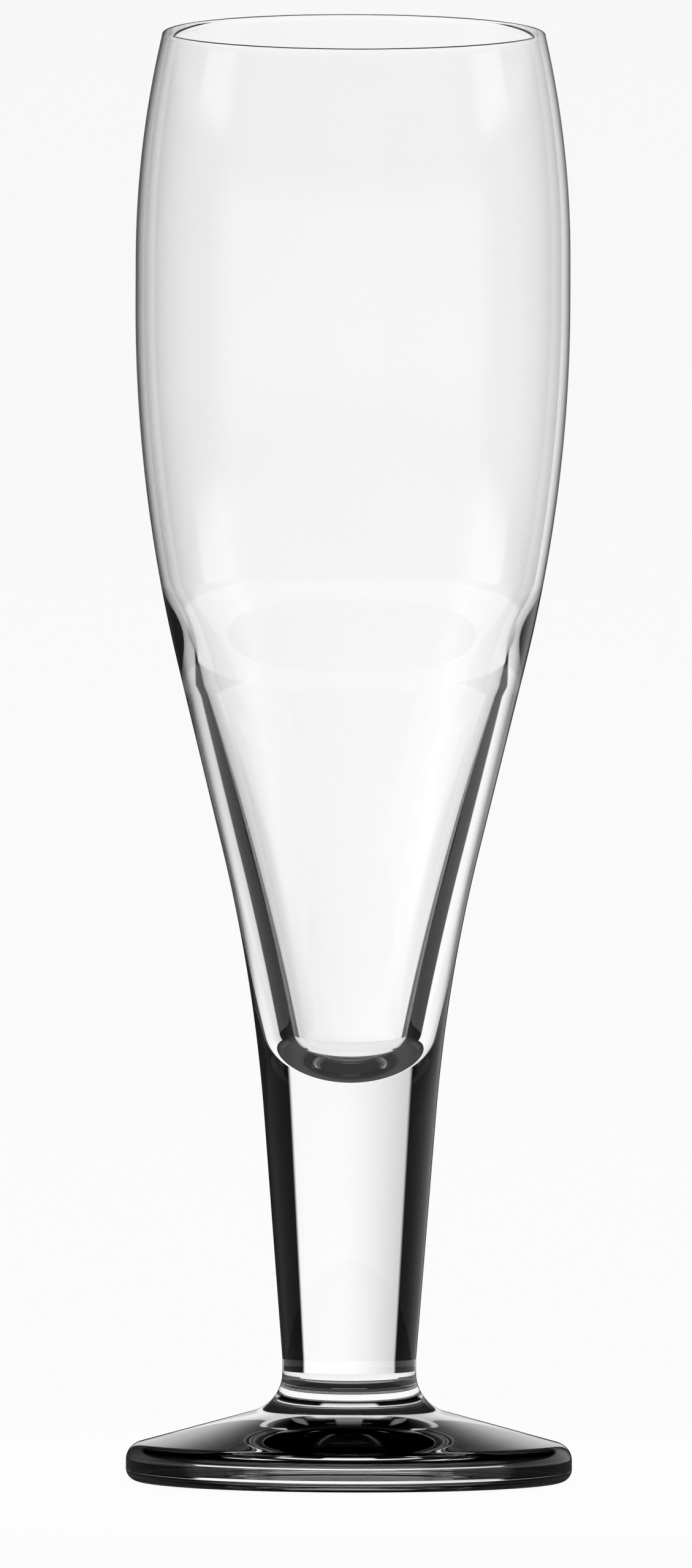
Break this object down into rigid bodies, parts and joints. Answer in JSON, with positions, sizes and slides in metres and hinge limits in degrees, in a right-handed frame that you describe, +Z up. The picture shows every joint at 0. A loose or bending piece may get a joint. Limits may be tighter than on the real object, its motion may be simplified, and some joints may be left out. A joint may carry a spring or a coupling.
{
  "type": "pilsner glass",
  "caption": "Tall stemmed pilsner glass: thin blown bowl with a thick pressed lower wall, solid tapered stem and a heavy sloping foot. Holds beer and stands on a table.",
  "frame": {"origin": "on the glass's axis, on the plane of the table that the foot stands on", "axes": "+Z up along the axis, from the foot to the rim; the glass is round, so X and Y have no special direction"},
  "size_m": [0.072, 0.072, 0.2342],
  "materials": {
    "bowl_glass": "clear, fire polished",
    "stem_glass": "clear, fire polished",
    "foot_glass": "clear, fire polished"
  },
  "bodies": {
    "root": {"bowl": "bowl_glass", "stem": "stem_glass", "foot": "foot_glass"}
  },
  "joints": []
}
